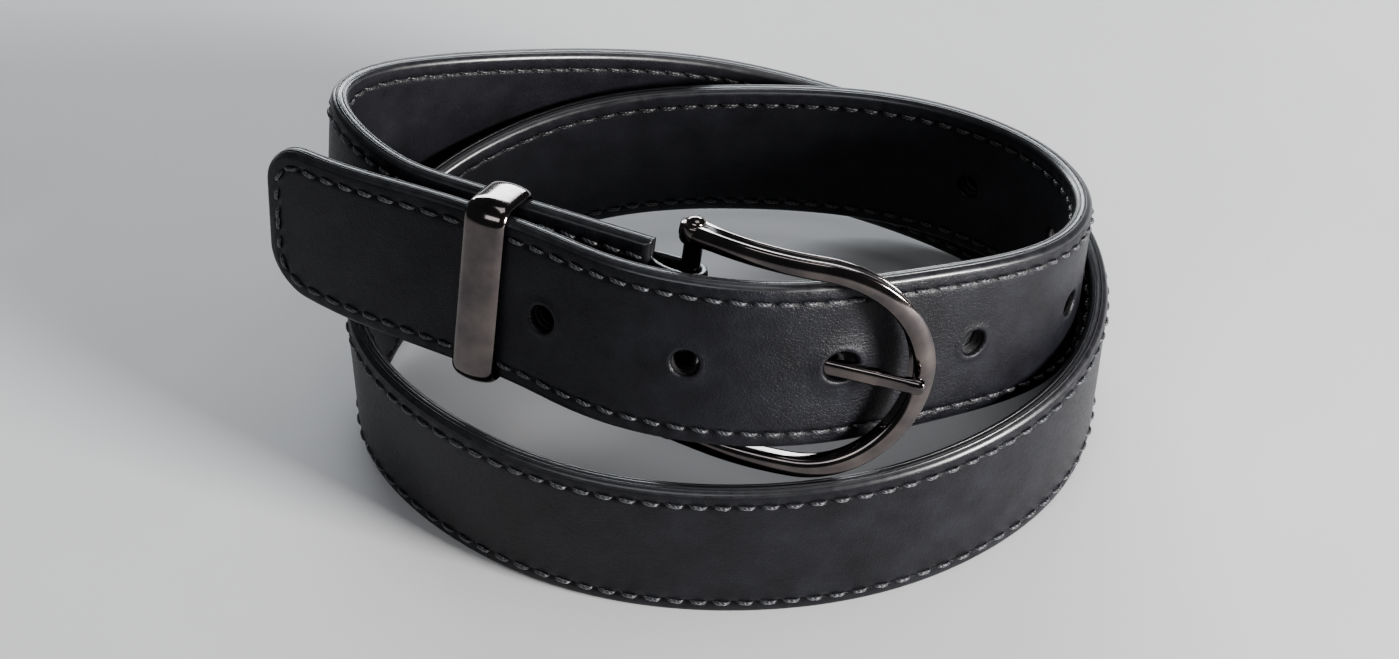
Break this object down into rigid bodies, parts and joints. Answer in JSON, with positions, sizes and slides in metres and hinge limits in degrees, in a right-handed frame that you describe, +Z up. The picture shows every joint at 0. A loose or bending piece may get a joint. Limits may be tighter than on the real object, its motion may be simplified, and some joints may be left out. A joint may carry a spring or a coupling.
{
  "type": "leather belt",
  "caption": "Stitched black leather dress belt, buckled and coiled on its edge, with a metal keeper and a round-nosed prong buckle.",
  "frame": {"origin": "middle of the footprint of the coiled belt, on the surface it rests on", "axes": "+X from the tip end towards the side away from it, +Y from the buckle towards the back of the coil, +Z up"},
  "size_m": [0.1476, 0.1058, 0.0698],
  "materials": {
    "grain_leather": "fine grain, semi-gloss",
    "lining_leather": "smooth, satin",
    "filler": "bonded leather board",
    "thread": "waxed polyester",
    "gunmetal": "polished black nickel"
  },
  "bodies": {
    "strap": {"outer_leather": "grain_leather", "core_filler": "filler", "lining": "lining_leather", "face_thread_upper": "thread", "face_thread_lower": "thread", "lining_thread_upper": "thread", "lining_thread_lower": "thread", "chape": "grain_leather", "chape_thread": "thread"},
    "buckle": {"buckle_frame": "gunmetal", "buckle_bar": "gunmetal"},
    "prong": {"prong": "gunmetal"},
    "keeper": {"keeper": "gunmetal"}
  },
  "joints": [
    {"name": "buckle_hinge", "type": "hinge", "parent": "strap", "child": "buckle", "pos_m": [-0.00148, -0.0335, 0.04939], "axis": [-0.1131, -0.2514, -0.9613], "range_deg": [-1, 1]},
    {"name": "prong_hinge", "type": "hinge", "parent": "buckle", "child": "prong", "pos_m": [-0.00148, -0.0335, 0.04939], "axis": [-0.1131, -0.2514, -0.9613], "range_deg": [0, 1.5]},
    {"name": "keeper_slide", "type": "slide", "parent": "strap", "child": "keeper", "axis": [-0.9119, 0.4104, 0], "range_m": [-0.0015, 0.0015]}
  ]
}
